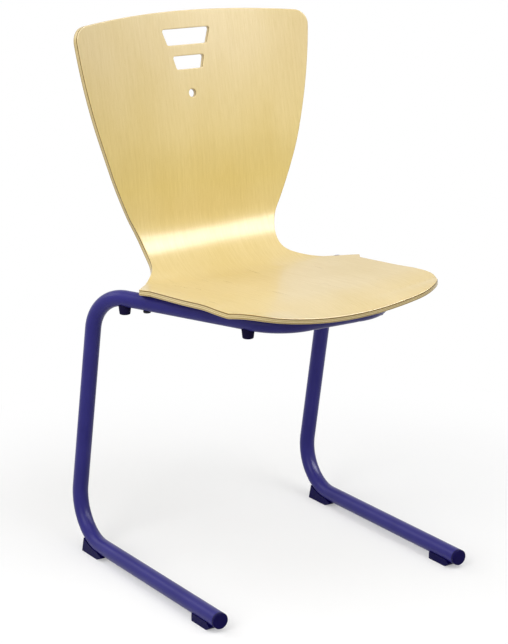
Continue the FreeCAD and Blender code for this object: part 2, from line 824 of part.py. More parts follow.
def foot_block(name, outline, sole_end):
    """The foot before it is hollowed: the outline across the tube, its toe rounded."""
    body = new_body(f"{name}_body")
    sketch = new_sketch(body, f"{name}_outline", "YZ_Plane")
    draw_outline(sketch, outline)
    block = body.newObject("PartDesign::Pad", f"{name}_block")
    block.Profile = sketch
    block.SideType = "Symmetric"
    tie(block, "Length", size["tube_diameter"])
    document.recompute()

    def is_toe(edge):
        ends = [vertex.Point for vertex in edge.Vertexes]
        return all(math.hypot(end.y + float(sole_end), end.z) < 0.01 for end in ends)

    round_edges(body, name, block, is_toe, size["foot_nose_round"])
    return body


def lower_walls(body, name):
    """Cut the walls of a rear foot along the bend of the tube."""
    before = body.Shape.Volume
    ring = new_sketch(body, f"{name}_bend", "YZ_Plane")
    draw_circle(ring, (-size["heel_tangent"], runner_axis + size["bend_radius"]),
                size["bend_radius"] + size["cradle_depth"])
    pocket = body.newObject("PartDesign::Pocket", f"{name}_lowered")
    pocket.Profile = ring
    pocket.Type = "ThroughAll"
    pocket.SideType = "Symmetric"
    document.recompute()
    if not 0 < body.Shape.Volume < before:
        raise ValueError(f"{name} walls were not lowered")


def seat_foot(body, name, side, peg_ahead, peg_rise):
    """Hollow the block to the tube and give it its peg."""
    across = size["upright_spacing"] / 2 * side
    put(body, across, size["heel_y"], 0)
    document.recompute()
    saddle = cut(f"{name}_saddle", body, tube_envelope)
    peg = document.addObject("Part::Cylinder", f"{name}_peg")
    root = size["floor_gap"] / 2
    tie(peg, "Radius", size["peg_diameter"] / 2)
    tie(peg, "Height", root + size["tube_wall"] + size["peg_reach"] + peg_rise)
    put(peg, across, size["heel_y"] - peg_ahead, root)
    finish(name, join(f"{name}_with_peg", [saddle, peg]))


rear_sole_end = size["heel_tangent"] + size["rear_foot_lap"]
rear_sole_start = rear_sole_end - size["rear_foot_sole"]
rear_peg_rise = sagitta(mm["bend_radius"], mm["rear_peg_setback"])
front_sole_end = size["runner_length"] - size["front_foot_inset"] - size["front_foot_nose"]
front_sole_start = front_sole_end - size["front_foot_sole"]

for side_name, side in sides:
    name = f"foot_rear_{side_name}"
    rear_face = [
        (-(rear_sole_start + size["rear_foot_lean"]), size["rear_foot_height"]),
        (-size["heel_tangent"], size["rear_foot_height"]),
        (-size["heel_tangent"], wall_line),
    ]
    outline = foot_outline(rear_sole_start, rear_sole_end, size["rear_foot_nose"], rear_face)
    body = foot_block(name, outline, rear_sole_end)
    lower_walls(body, name)
    seat_foot(body, name, side, size["heel_tangent"] - size["rear_peg_setback"], rear_peg_rise)

    name = f"foot_front_{side_name}"
    rear_face = [(-front_sole_start, wall_line)]
    outline = foot_outline(front_sole_start, front_sole_end, size["front_foot_nose"], rear_face)
    body = foot_block(name, outline, front_sole_end)
    seat_foot(body, name, side, size["runner_length"] - size["front_peg_setback"], 0)


# End caps: a disc on the open end of each runner, held by a stem inside the tube

# half profile along the tube: X runs into the tube and Y is the radius
cap_radius = size["tube_diameter"] / 2
stem_radius = bore_radius - size["fit_gap"]
cap_profile = [
    (-size["cap_face"], 0),
    (-size["cap_face"], cap_radius - size["cap_bevel"]),
    (-size["cap_face"] + size["cap_bevel"], cap_radius),
    (0, cap_radius),
    (0, stem_radius),
    (size["cap_stem"], stem_radius),
    (size["cap_stem"], 0),
]

for side_name, side in sides:
    name = f"end_cap_{side_name}"
    body = new_body(name)
    turn_profile(body, name, cap_profile, "YZ_Plane", "H_Axis")
    put(body, size["upright_spacing"] / 2 * side, size["heel_y"] - size["runner_length"],
        runner_axis)
    finish(name, body)


# Table buffers: tapered studs under the rails, saddled to the tube and pegged into it

rail_underside = size["rail_height"] - size["tube_diameter"] / 2


def make_buffer(name, across, ahead):
    body = new_body(f"{name}_body")
    profile = [
        (0, -size["buffer_drop"]),
        (size["buffer_bottom"] / 2 - size["buffer_bevel"], -size["buffer_drop"]),
        (size["buffer_bottom"] / 2, size["buffer_bevel"] - size["buffer_drop"]),
        (size["buffer_top"] / 2, size["buffer_saddle"]),
        (0, size["buffer_saddle"]),
    ]
    turn_profile(body, name, profile, "XZ_Plane", "V_Axis")
    put(body, across, size["heel_y"] - ahead, rail_underside)
    document.recompute()
    saddle = cut(f"{name}_saddle", body, tube_envelope)
    peg = document.addObject("Part::Cylinder", f"{name}_peg")
    root = size["buffer_drop"] / 2
    tie(peg, "Radius", size["buffer_peg"] / 2)
    tie(peg, "Height", root + size["tube_wall"] + size["peg_reach"])
    put(peg, across, size["heel_y"] - ahead, rail_underside - root)
    finish(name, join(f"{name}_with_peg", [saddle, peg]))


for side_name, side in sides:
    make_buffer(f"table_buffer_rear_{side_name}", size["rear_buffer_out"] * side,
                size["rear_buffer_ahead"])
    make_buffer(f"table_buffer_front_{side_name}", size["front_buffer_out"] * side,
                size["front_buffer_ahead"])


# Shell screws and inserts: each kind is made once and stands at all of its spots

def place_copies(name, placed):
    """A group of separate solids, given as pairs of a model and its spot."""
    copies = []
    for model, spot in placed:
        solid = model.Shape.copy()
        solid.translate(spot)
        copies.append(solid)
    group = document.addObject("Part::Feature", f"{name}_group")
    group.Shape = Part.makeCompound(copies)
    finish(name, group)


def make_screw(name, shank_length):
    """A screw that stands head down, with the seat of its head at height 0."""
    body = new_body(name)
    head_radius = size["screw_head_diameter"] / 2
    profile = [
        (0, -size["screw_head_height"]),
        (head_radius - size["screw_head_bevel"], -size["screw_head_height"]),
        (head_radius, size["screw_head_bevel"] - size["screw_head_height"]),
        (head_radius, 0),
        (size["screw_diameter"] / 2, 0),
        (size["screw_diameter"] / 2, shank_length),
        (0, shank_length),
    ]
    turned = turn_profile(body, name, profile, "XZ_Plane", "V_Axis")
    outline = new_sketch(body, f"{name}_socket_outline", "XY_Plane")
    reach = size["screw_socket"] / math.sqrt(3)
    draw_outline(outline, [(reach * math.cos(math.radians(60 * corner)),
                            reach * math.sin(math.radians(60 * corner)))
                           for corner in range(6)])
    tie(outline, "AttachmentOffset.Base.z", -size["screw_head_height"])
    socket = body.newObject("PartDesign::Pocket", f"{name}_socket")
    socket.Profile = outline
    tie(socket, "Length", size["screw_socket_depth"])
    socket.Reversed = True
    document.recompute()
    if not 0 < socket.Shape.Volume < turned.Shape.Volume:
        raise ValueError(f"{name} has no socket")
    return body


shank_above_tube = size["seat_gap"] + size["insert_recess"] + size["screw_grip"]
rail_screw = make_screw("rail_screw", size["tube_diameter"] + size["fit_gap"] + shank_above_tube)
bar_screw = make_screw("bar_screw", sunk_depth + shank_above_tube)
under_tube = mm["rail_height"] - tube_radius - mm["fit_gap"]
in_bar = rail_top - float(sunk_depth)

insert_body = new_body("insert_model")
insert_bore = size["screw_diameter"] / 2 + size["fit_gap"]
sleeve = [
    (insert_bore, 0),
    (size["insert_diameter"] / 2, 0),
    (size["insert_diameter"] / 2, size["insert_length"]),
    (insert_bore, size["insert_length"]),
]
turn_profile(insert_body, "insert", sleeve, "XZ_Plane", "V_Axis")
place_copies("shell_inserts", [(insert_body, spot) for spot in insert_spots])
place_copies("shell_screws",
             [(rail_screw, Vector(x, heel_y + y, under_tube)) for x, y in rail_screw_spots]
             + [(bar_screw, Vector(x, heel_y + y, in_bar)) for x, y in bar_screw_spots])


# Check everything, then write one file for each sub-part

document.recompute()
for item in document.Objects:
    if "Invalid" in item.State or "Error" in item.State:
        raise ValueError(f"{item.Name} failed: {item.State}")
os.makedirs("parts", exist_ok=True)
for name, item in pieces.items():
    shape = item.Shape
    if shape.isNull() or not shape.isValid() or not shape.Solids:
        raise ValueError(f"{name} has no valid solid")
    print(name, "solids", len(shape.Solids), "volume", round(shape.Volume))
for name, item in pieces.items():
    item.Shape.exportStep(f"parts/{name}.step")
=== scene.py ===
# %% [markdown]
# # A school chair, dressed for its portrait
# The chair is one sheet of moulded plywood on a frame bent from a single steel tube. The
# construction model gives the frame of reference: every piece made here stands where its
# counterpart stands there. Only the screws and the threaded inserts keep their own meshes.

# %% Load the construction model
import math

import bmesh
import bpy
from mathutils import Matrix, Vector


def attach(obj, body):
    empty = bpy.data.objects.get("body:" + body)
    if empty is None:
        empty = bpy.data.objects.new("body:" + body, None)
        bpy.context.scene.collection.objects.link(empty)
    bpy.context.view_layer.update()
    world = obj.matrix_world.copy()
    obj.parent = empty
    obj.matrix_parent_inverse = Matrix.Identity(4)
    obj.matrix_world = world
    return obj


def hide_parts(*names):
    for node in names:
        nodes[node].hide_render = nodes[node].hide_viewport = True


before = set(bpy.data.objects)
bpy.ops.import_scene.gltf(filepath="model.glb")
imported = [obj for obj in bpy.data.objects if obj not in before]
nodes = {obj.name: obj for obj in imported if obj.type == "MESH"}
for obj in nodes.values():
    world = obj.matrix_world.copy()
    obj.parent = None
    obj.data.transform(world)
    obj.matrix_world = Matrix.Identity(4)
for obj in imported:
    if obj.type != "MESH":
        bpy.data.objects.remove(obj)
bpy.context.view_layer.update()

# %% [markdown]
# The shell's shape is easiest to say in millimetres and the frame is in metres, so one factor turns
# the first into the second. A finished bmesh always becomes an object in the same way: it rides on
# the chair's only body and stands for the construction pieces that it covers, which are hidden.

# %% Helpers that every piece uses
MM = 0.001
NORMAL_WEIGHT = 60


def finish_piece(name, bm, stands_for):
    """Turn a bmesh into a smooth piece of the chair."""
    bmesh.ops.recalc_face_normals(bm, faces=bm.faces)
    for face in bm.faces:
        face.smooth = True
    mesh = bpy.data.meshes.new(name)
    bm.to_mesh(mesh)
    bm.free()
    piece = bpy.data.objects.new(name, mesh)
    bpy.context.scene.collection.objects.link(piece)
    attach(piece, "root")
    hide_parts(*stands_for)
    print(name, "faces:", len(mesh.polygons))
    return piece


def weigh_normals(piece):
    """Let the large faces decide the shading, so that flat parts look flat."""
    modifier = piece.modifiers.new("even_shading", "WEIGHTED_NORMAL")
    modifier.keep_sharp = True
    modifier.weight = NORMAL_WEIGHT


# %% [markdown]
# ## The seat shell
# The real shell is pressed from flat veneers. It could be lofted through cross-sections,
# but the model follows the press: an outline is drawn on a flat sheet, its rims are
# rounded, the sheet is divided into small cells, and only then is it bent. A place on the
# flat sheet is given by X across the chair, by the distance below the top edge, and by the
# depth under the sitter's face. These numbers stay on the mesh as an attribute, so that
# the grain can run along the bent wood.
#
# First comes the line of the shell seen from the side: a few straight runs and arcs, each
# with its length and its curvature, walked from the top edge down and forward. They are the
# upper back, the lumbar curve, the lower back, the tight curve into the seat, the seat, and
# the lip that turns down in front. The line goes on a little past the front edge.

# %% Side line of the shell
SHEET_THICKNESS = 9
TOP_EDGE = (224.492, 837.7, math.radians(11.78))
RUNS = [
    (196.835, 0),
    (51.302, -1 / 414),
    (66.6, 0),
    (147.836, 1 / 94.8),
    (195.3, 0),
    (129.591, -1 / 390),
]


def walk(state, length, curvature):
    """Go a length onward, straight or on an arc."""
    y, z, angle = state
    if curvature == 0:
        return (y - math.sin(angle) * length, z - math.cos(angle) * length, angle)
    turned = angle + curvature * length
    ahead = (math.cos(turned) - math.cos(angle)) / curvature
    down = (math.sin(turned) - math.sin(angle)) / curvature
    return (y + ahead, z - down, turned)


def line_state(distance):
    """Y, Z and direction of the sitter's face at a distance below the top edge."""
    state = TOP_EDGE
    left = distance
    for length, curvature in RUNS[:-1]:
        if left <= length:
            return walk(state, left, curvature)
        state = walk(state, length, curvature)
        left -= length
    return walk(state, left, RUNS[-1][1])


line_length = sum(length for length, curvature in RUNS)
print("the side line is", round(line_length, 1), "mm long, a little more than the sheet")

# %% [markdown]
# Across the chair the sheet is an arc everywhere. It is strongly curved in the back, where
# it holds the sitter, nearly flat in the seat, and curved again at the front lip. A lattice
# could bend the sheet too, but a formula can also be searched backwards: the seat is known
# best from above, and its outline has to be carried from there to the flat sheet.

# %% Curve across, and the bend from the flat sheet to the chair
CROSS_CURVES = [
    (0, 1 / 684), (248.1, 1 / 820), (351, 1 / 716), (462.6, 1 / 1634.3), (507.4, 1 / 1634.3),
    (616.4, 1 / 1530), (725.5, 1 / 1218), (787.5, 1 / 461),
]
SEARCH_FROM, SEARCH_TO, SEARCH_STEPS = 480, 787, 40


def cross_curve(distance):
    """Curvature across the chair at a distance below the top edge."""
    for (start, first), (end, second) in zip(CROSS_CURVES, CROSS_CURVES[1:]):
        if distance <= end:
            share = max(0, (distance - start) / (end - start))
            return first + (second - first) * share
    return CROSS_CURVES[-1][1]


def bent(x, distance, depth):
    """Where a place on the flat sheet comes to lie on the chair, in millimetres."""
    y, z, angle = line_state(distance)
    curve = cross_curve(distance)
    tilt_cosine = math.sqrt(1 - (curve * x) ** 2)
    rise = curve * x * x / (1 + tilt_cosine) - depth * tilt_cosine
    return Vector((x + depth * curve * x, y - math.cos(angle) * rise, z + math.sin(angle) * rise))


def distance_at(x, y):
    """Distance below the top edge at which the seat's face has this X and Y."""
    low, high = SEARCH_FROM, SEARCH_TO
    for step in range(SEARCH_STEPS):
        middle = (low + high) / 2
        if bent(x, middle, 0).y > y:
            low = middle
        else:
            high = middle
    return (low + high) / 2


print("radius across at the top and at the lip:",
      round(1 / cross_curve(0)), round(1 / cross_curve(line_length)))

# %% [markdown]
# The outline goes down one side of the chair: the arched top edge, a rounded corner, the
# side of the back, the neck, the edge that flares out to an ear on the seat rail, the
# notch in front of the ear, the straight side of the seat and its front corner. The ear
# and the seat are drawn in plan, as seen from above, and then carried to the flat sheet.

# %% Half width of the flat sheet
WIDEST_HALF, WIDEST_RISE, SIDE_RADIUS = 214.6, 37.3, 857.727
NECK_HALF, NECK_AT = 120.45, 387.237
NECK_UPPER_RADIUS, NECK_LOWER_RADIUS = 146.5, 51.5
SIDE_MEETS_NECK, FLARE_AT, FLARE_HALF = 325.304, 419.787, 132.04
FLARE_SLOPE = math.tan(math.radians(39.2))
TOP_ARCH_RADIUS = 1303


def sagitta(radius, run):
    """How far an arc falls away from its tangent after a run."""
    return radius - math.sqrt(radius ** 2 - run ** 2)


def half_width(distance):
    """Half the width of the back at a distance below the top edge."""
    if distance < SIDE_MEETS_NECK:
        return WIDEST_HALF - sagitta(SIDE_RADIUS, distance + WIDEST_RISE)
    if distance < NECK_AT:
        return NECK_HALF + sagitta(NECK_UPPER_RADIUS, NECK_AT - distance)
    if distance < FLARE_AT:
        return NECK_HALF + sagitta(NECK_LOWER_RADIUS, distance - NECK_AT)
    return FLARE_HALF + (distance - FLARE_AT) * FLARE_SLOPE


print("half width of the top and the neck:", round(half_width(0), 1), round(half_width(NECK_AT), 1))

# %% [markdown]
# A bevel on a corner of a wire gives little say in where its points fall, so two helpers
# lay out the points themselves: an arc in place of a corner, and even steps on a straight
# line. The steps are about as long as the cells that the sheet is later cut into.

# %% Arcs and straight lines
POINT_SPACING = 4


def rounded_corner(before, corner, after, radius, steps):
    """Points of the arc that takes the place of a corner."""
    before, corner, after = Vector(before), Vector(corner), Vector(after)
    arriving = (corner - before).normalized()
    leaving = (after - corner).normalized()
    turn = arriving.angle(leaving)
    start = corner - arriving * radius * math.tan(turn / 2)
    inward = (leaving - arriving * math.cos(turn)).normalized()
    points = []
    for step in range(steps + 1):
        angle = turn * step / steps
        points.append(start + arriving * radius * math.sin(angle)
                      + inward * radius * (1 - math.cos(angle)))
    return points


def between(start, end, spacing):
    """Points on a straight line, without its two ends."""
    start, end = Vector(start), Vector(end)
    count = max(1, round((end - start).length / spacing))
    return [start.lerp(end, step / count) for step in range(1, count)]


print("the outline gets a point every", POINT_SPACING, "mm")

# %% [markdown]
# The top edge and the side of the back are drawn on the flat sheet, from the middle of the
# chair outwards. The corner between them lies where the arch meets the side, and two
# rounds of looking for that place come near enough.

# %% Top edge, corner and side of the back
TOP_CORNER_RADIUS, TOP_CORNER_STEPS = 24, 14
CORNER_REACH = 30
FIRST_DROP = 17
EAR_AT, EAR_GAP = 507.405, 7

corner_x = half_width(FIRST_DROP)
corner_drop = sagitta(TOP_ARCH_RADIUS, corner_x)
corner_x = half_width(corner_drop)
arch_neighbour = (corner_x - CORNER_REACH, sagitta(TOP_ARCH_RADIUS, corner_x - CORNER_REACH))
side_neighbour = (half_width(corner_drop + CORNER_REACH), corner_drop + CORNER_REACH)
top_corner = rounded_corner(arch_neighbour, (corner_x, corner_drop), side_neighbour,
                            TOP_CORNER_RADIUS, TOP_CORNER_STEPS)

arch_steps = round(top_corner[0].x / POINT_SPACING)
half_outline = []
for step in range(arch_steps):
    x = top_corner[0].x * step / arch_steps
    half_outline.append(Vector((x, sagitta(TOP_ARCH_RADIUS, x))))
half_outline += top_corner
side_start, side_end = top_corner[-1].y, EAR_AT - EAR_GAP
side_steps = round((side_end - side_start) / POINT_SPACING)
for step in range(1, side_steps):
    distance = side_start + (side_end - side_start) * step / side_steps
    half_outline.append(Vector((half_width(distance), distance)))
print("points from the top edge to the ear:", len(half_outline))

# %% [markdown]
# The ear, the notch and the seat are corners in plan with straight lines between them. The
# other half of the outline is this one mirrored.

# %% Ear, notch and seat
EAR_HALF, EAR_Y, EAR_RADIUS = 203.5, 25.667, 4
NOTCH_Y, NOTCH_RADIUS = 10.471, 5
SEAT_HALF, FRONT_Y = 193.25, -233.686
SMALL_CORNER_STEPS = 6
FRONT_CORNER_RADIUS, FRONT_CORNER_STEPS = 72, 28

before_ear = EAR_AT - 2 * EAR_GAP
ear_rear = (half_width(before_ear), bent(half_width(before_ear), before_ear, 0).y)
ear = (EAR_HALF, EAR_Y)
notch = (SEAT_HALF, NOTCH_Y)
front = (SEAT_HALF, FRONT_Y)
front_middle = (0, FRONT_Y)
plan = rounded_corner(ear_rear, ear, notch, EAR_RADIUS, SMALL_CORNER_STEPS)
plan += rounded_corner(ear, notch, front, NOTCH_RADIUS, SMALL_CORNER_STEPS)
front_corner = rounded_corner(notch, front, front_middle, FRONT_CORNER_RADIUS, FRONT_CORNER_STEPS)
plan += between(plan[-1], front_corner[0], POINT_SPACING) + front_corner
plan += between(front_corner[-1], front_middle, POINT_SPACING) + [Vector(front_middle)]
half_outline += [Vector((point.x, distance_at(point.x, point.y))) for point in plan]
mirrored = [Vector((-point.x, point.y)) for point in reversed(half_outline[1:-1])]
outline = half_outline + mirrored
print("outline points:", len(outline), "front edge at", round(half_outline[-1].y, 1))

# %% [markdown]
# Two hand slots and a round hole go through the upper back. Their corners are rounded by
# the router that cuts them. A boolean could cut them out of the finished shell, but as
# loops on the flat sheet they get the same rims as the outside.

# %% Slots and hole
SLOT_CORNER_RADIUS, SLOT_CORNER_STEPS = 3.5, 6
HOLE_RADIUS, HOLE_DROP, HOLE_SEGMENTS = 6.5, 129.8, 40


def slot_outline(drop, height, top_width, bottom_width):
    """A slot that is narrower below, its top edge at a drop below the shell's top edge."""
    corners = [(-top_width / 2, drop), (top_width / 2, drop),
               (bottom_width / 2, drop + height), (-bottom_width / 2, drop + height)]
    points = []
    for index, corner in enumerate(corners):
        following = corners[(index + 1) % len(corners)]
        points += rounded_corner(corners[index - 1], corner, following,
                                 SLOT_CORNER_RADIUS, SLOT_CORNER_STEPS)
        points += between(corner, following, POINT_SPACING)[1:-1]
    return points


hole_outline = []
for step in range(HOLE_SEGMENTS):
    angle = math.tau * step / HOLE_SEGMENTS
    hole_outline.append(Vector((HOLE_RADIUS * math.sin(angle),
                                HOLE_DROP - HOLE_RADIUS * math.cos(angle))))
upper_slot = slot_outline(drop=28, height=25.4, top_width=89, bottom_width=72)
lower_slot = slot_outline(drop=70.7, height=20.9, top_width=58, bottom_width=47)
cut_outs = [upper_slot, lower_slot, hole_outline]
print("cut-outs:", [len(points) for points in cut_outs])

# %% [markdown]
# Each rim is built by extruding its loop of edges ring by ring, round the upper edge, down
# the side and round the lower edge. A bevel could do this too, but the wood is ground to a
# larger round under the knees than elsewhere, and rings let the radius grow smoothly along
# the rim.

# %% Profile of a rim
SMALL_ROUND, FRONT_ROUND = 1.2, 2.4
FRONT_ROUND_STARTS, FRONT_ROUND_FULL = 690, 742
UPPER_ROUND_STEPS, LOWER_ROUND_STEPS = 6, 3
QUARTER_TURN = math.radians(90)


def smoothstep(low, high, value):
    """0 up to the low value, 1 from the high value on, and a soft slope between them."""
    share = min(1, max(0, (value - low) / (high - low)))
    return share * share * (3 - 2 * share)


def rim_round(place):
    """Radius of the upper rim at a place on the sheet."""
    front_share = smoothstep(FRONT_ROUND_STARTS, FRONT_ROUND_FULL, place.y)
    return SMALL_ROUND + (FRONT_ROUND - SMALL_ROUND) * front_share


def rim_rings(place):
    """Distance inward and depth of the rim at one place, ring by ring."""
    upper = rim_round(place)
    rings = []
    for step in range(UPPER_ROUND_STEPS + 1):
        angle = QUARTER_TURN * step / UPPER_ROUND_STEPS
        rings.append((upper * (1 - math.sin(angle)), upper * (1 - math.cos(angle))))
    for step in range(LOWER_ROUND_STEPS + 1):
        angle = QUARTER_TURN * step / LOWER_ROUND_STEPS
        rings.append((SMALL_ROUND * (1 - math.cos(angle)),
                      SHEET_THICKNESS - SMALL_ROUND * (1 - math.sin(angle))))
    return rings


print("rings in a rim:", len(rim_rings(outline[0])))

# %% Extrude the rims
def inward_directions(points, inward_sign):
    """At each point of a loop, the direction into the wood."""
    directions = []
    for index, point in enumerate(points):
        along = points[(index + 1) % len(points)] - points[index - 1]
        directions.append(Vector((-along.y, along.x)).normalized() * inward_sign)
    return directions


def add_rim(bm, points, inward_sign):
    """Build one rim, and give back the loops of edges that bound the face and the back."""
    number = bm.verts.layers.int["rim_number"]
    directions = inward_directions(points, inward_sign)
    rings = [rim_rings(point) for point in points]

    def place_ring(verts, ring):
        for vert in verts:
            index = vert[number]
            inward, depth = rings[index][ring]
            spot = points[index] + directions[index] * inward
            vert.co = (spot.x, spot.y, depth)

    verts = []
    for index in range(len(points)):
        vert = bm.verts.new((0, 0, 0))
        vert[number] = index
        verts.append(vert)
    place_ring(verts, 0)
    edges = [bm.edges.new((verts[index - 1], verts[index])) for index in range(len(points))]
    face_loop = edges
    for ring in range(1, len(rings[0])):
        made = bmesh.ops.extrude_edge_only(bm, edges=edges)["geom"]
        edges = [item for item in made if isinstance(item, bmesh.types.BMEdge)]
        ring_verts = [item for item in made if isinstance(item, bmesh.types.BMVert)]
        edges = [edge for edge in edges if all(vert in ring_verts for vert in edge.verts)]
        place_ring(ring_verts, ring)
    return face_loop, edges


sheet = bmesh.new()
sheet.verts.layers.int.new("rim_number")
face_edges, back_edges = add_rim(sheet, outline, 1)
for points in cut_outs:
    face_loop, back_loop = add_rim(sheet, points, -1)
    face_edges += face_loop
    back_edges += back_loop
print("rim faces:", len(sheet.faces))

# %% [markdown]
# The face and the back are filled between their loops, and planes then cut the sheet into
# cells, because only a sheet with many points can be bent. The planes lie closest where the
# tight curve between back and seat will be.

# %% Fill the sheet and cut it into cells
ACROSS, DOWN = 0, 1
FIRST_ACROSS, LAST_ACROSS, CELL_WIDTH = -216, 217, 9
FIRST_DOWN, LAST_DOWN, CELL_LENGTH = 9, 768, 8
TIGHT_FROM, TIGHT_TO, TIGHT_LENGTH = 310, 470, 4
CUT_TOLERANCE = 1e-4

bmesh.ops.triangle_fill(sheet, edges=face_edges, use_beauty=True)
bmesh.ops.triangle_fill(sheet, edges=back_edges, use_beauty=True)


def cut_along(coordinate, positions):
    """Cut the flat sheet with planes that stand square to a coordinate."""
    normal = Vector((0, 0, 0))
    normal[coordinate] = 1
    for position in positions:
        everything = sheet.verts[:] + sheet.edges[:] + sheet.faces[:]
        bmesh.ops.bisect_plane(sheet, geom=everything, dist=CUT_TOLERANCE,
                               plane_co=normal * position, plane_no=normal)


def steps_between(start, end, spacing):
    """Even steps from a start up to an end, which isn't one of them."""
    count = round((end - start) / spacing)
    return [start + (end - start) * step / count for step in range(count)]


cut_along(ACROSS, steps_between(FIRST_ACROSS, LAST_ACROSS, CELL_WIDTH))
cut_along(DOWN, steps_between(FIRST_DOWN, TIGHT_FROM, CELL_LENGTH))
cut_along(DOWN, steps_between(TIGHT_FROM, TIGHT_TO, TIGHT_LENGTH))
cut_along(DOWN, steps_between(TIGHT_TO, LAST_DOWN, CELL_LENGTH))
print("cells:", len(sheet.faces))

# %% [markdown]
# Now the press closes: every vertex moves from its place on the flat sheet to its place on
# the chair. The flat place is kept as an attribute first, in metres.

# %% Bend the sheet
flat_place = sheet.verts.layers.float_vector.new("flat_place")
for vert in sheet.verts:
    vert[flat_place] = vert.co * MM
    vert.co = bent(vert.co.x, vert.co.y, vert.co.z) * MM
shell = finish_piece("plywood_shell", sheet, ["seat_shell"])
weigh_normals(shell)

# %% [markdown]
# ## The frame tube
# The frame is one steel tube with six bends. A curve with a round bevel would be quicker to
# draw, but it has no wall and its bends aren't true arcs. A tube bender works on a straight
# tube, end to end: push it forward, bend it, push it forward again. The model does the same
# with a ring of faces as wide as the tube's wall: extrude it along a straight run, spin it
# round a bend, and so on. The ring of the first end stays behind and closes the wall there.

# %% Path of the tube
TUBE_RADIUS, TUBE_WALL, TUBE_SEGMENTS = 12.5, 2, 48
BEND_RADIUS, BEND_STEPS = 70, 20
RUNNER_HALF, RUNNER_LENGTH, RUNNER_Z = 220.5, 425.7, 18.5
HEEL_Y = 206.842
RAIL_REAR_Y, RAIL_Z = 127.214, 432
BAR_HALF, BAR_Y = 98, -189.686

right_side = [
    Vector((-RUNNER_HALF, HEEL_Y - RUNNER_LENGTH, RUNNER_Z)),
    Vector((-RUNNER_HALF, HEEL_Y, RUNNER_Z)),
    Vector((-RUNNER_HALF, RAIL_REAR_Y, RAIL_Z)),
    Vector((-BAR_HALF, BAR_Y, RAIL_Z)),
]
path = right_side + [Vector((-corner.x, corner.y, corner.z)) for corner in reversed(right_side)]
print("bends on the path:", len(path) - 2)

# %% Push and bend
def push_ring(bm, ring, way, keep_start=False):
    """Extrude a ring of faces straight on, and give back its new place."""
    made = bmesh.ops.extrude_face_region(bm, geom=ring, use_keep_orig=keep_start)["geom"]
    verts = [item for item in made if isinstance(item, bmesh.types.BMVert)]
    bmesh.ops.translate(bm, vec=way * MM, verts=verts)
    return [item for item in made if isinstance(item, bmesh.types.BMFace)]


def bend_tube(bm, ring):
    """Push and bend a ring of faces along the whole path."""
    used = 0
    for before, corner, after in zip(path, path[1:], path[2:]):
        arriving = (corner - before).normalized()
        leaving = (after - corner).normalized()
        turn = arriving.angle(leaving)
        tangent = BEND_RADIUS * math.tan(turn / 2)
        way = arriving * ((corner - before).length - used - tangent)
        ring = push_ring(bm, ring, way, keep_start=used == 0)
        inward = (leaving - arriving * math.cos(turn)).normalized()
        centre = corner - arriving * tangent + inward * BEND_RADIUS
        spun = bmesh.ops.spin(bm, geom=ring, cent=centre * MM, axis=arriving.cross(inward),
                              angle=turn, steps=BEND_STEPS, use_merge=False)
        ring = [item for item in spun["geom_last"] if isinstance(item, bmesh.types.BMFace)]
        used = tangent
    last_run = path[-1] - path[-2]
    push_ring(bm, ring, last_run.normalized() * (last_run.length - used))


tube = bmesh.new()
facing = Matrix.Translation(path[0] * MM) @ Matrix.Rotation(QUARTER_TURN, 4, "X")
bmesh.ops.create_circle(tube, cap_ends=True, segments=TUBE_SEGMENTS, radius=TUBE_RADIUS * MM,
                        matrix=facing)
disc = tube.faces[:]
bmesh.ops.inset_region(tube, faces=disc, thickness=TUBE_WALL * MM, use_boundary=True,
                       use_even_offset=True)
bmesh.ops.delete(tube, geom=disc, context="FACES")
bend_tube(tube, tube.faces[:])
print("steel in the tube:", round(abs(tube.calc_volume()) / MM ** 3), "cubic millimetres")
tube_piece = finish_piece("bent_tube", tube, ["frame_tube"])

# %% [markdown]
# Two screws hold the front of the shell. Their heads are sunk in the front bar, so the bar
# has two access holes from below. They cross the round wall at an odd line, which a boolean
# finds by itself.

# %% Access holes in the front bar
ACCESS_HALF, ACCESS_Z = 40, 415
ACCESS_RADIUS, ACCESS_DEPTH, ACCESS_SEGMENTS = 6.5, 26, 36

hole_cutter = bmesh.new()
for side in (-1, 1):
    spot = Matrix.Translation(Vector((side * ACCESS_HALF, BAR_Y, ACCESS_Z)) * MM)
    bmesh.ops.create_cone(hole_cutter, cap_ends=True, segments=ACCESS_SEGMENTS,
                          radius1=ACCESS_RADIUS * MM, radius2=ACCESS_RADIUS * MM,
                          depth=ACCESS_DEPTH * MM, matrix=spot)
cutter_mesh = bpy.data.meshes.new("access_hole_cutter")
hole_cutter.to_mesh(cutter_mesh)
hole_cutter.free()
cutter = bpy.data.objects.new("access_hole_cutter", cutter_mesh)
bpy.context.scene.collection.objects.link(cutter)
drilling = tube_piece.modifiers.new("access_holes", "BOOLEAN")
drilling.object = cutter
drilling.operation = "DIFFERENCE"
drilling.solver = "EXACT"
bpy.context.view_layer.update()
drilled = tube_piece.evaluated_get(bpy.context.evaluated_depsgraph_get())
drilled_mesh = bpy.data.meshes.new_from_object(drilled)
tube_piece.modifiers.remove(drilling)
tube_piece.data = drilled_mesh
bpy.data.objects.remove(cutter)
weigh_normals(tube_piece)
print("drilled tube faces:", len(drilled_mesh.polygons))

# %% [markdown]
# ## Feet, caps and buffers
# The floor feet are moulded, so none of their edges is sharp. They are hollowed to the
# tube, a shape that is right in the construction model already, so copies of its meshes are
# merged, cleared of the lines inside their flat faces, and bevelled.

# %% Feet with soft edges
MERGE_DISTANCE = 0.01 * MM
FLAT_ANGLE, SHARP_ANGLE = math.radians(0.5), math.radians(35)
SOFT_EDGE, SOFT_EDGE_SEGMENTS = 0.7, 3


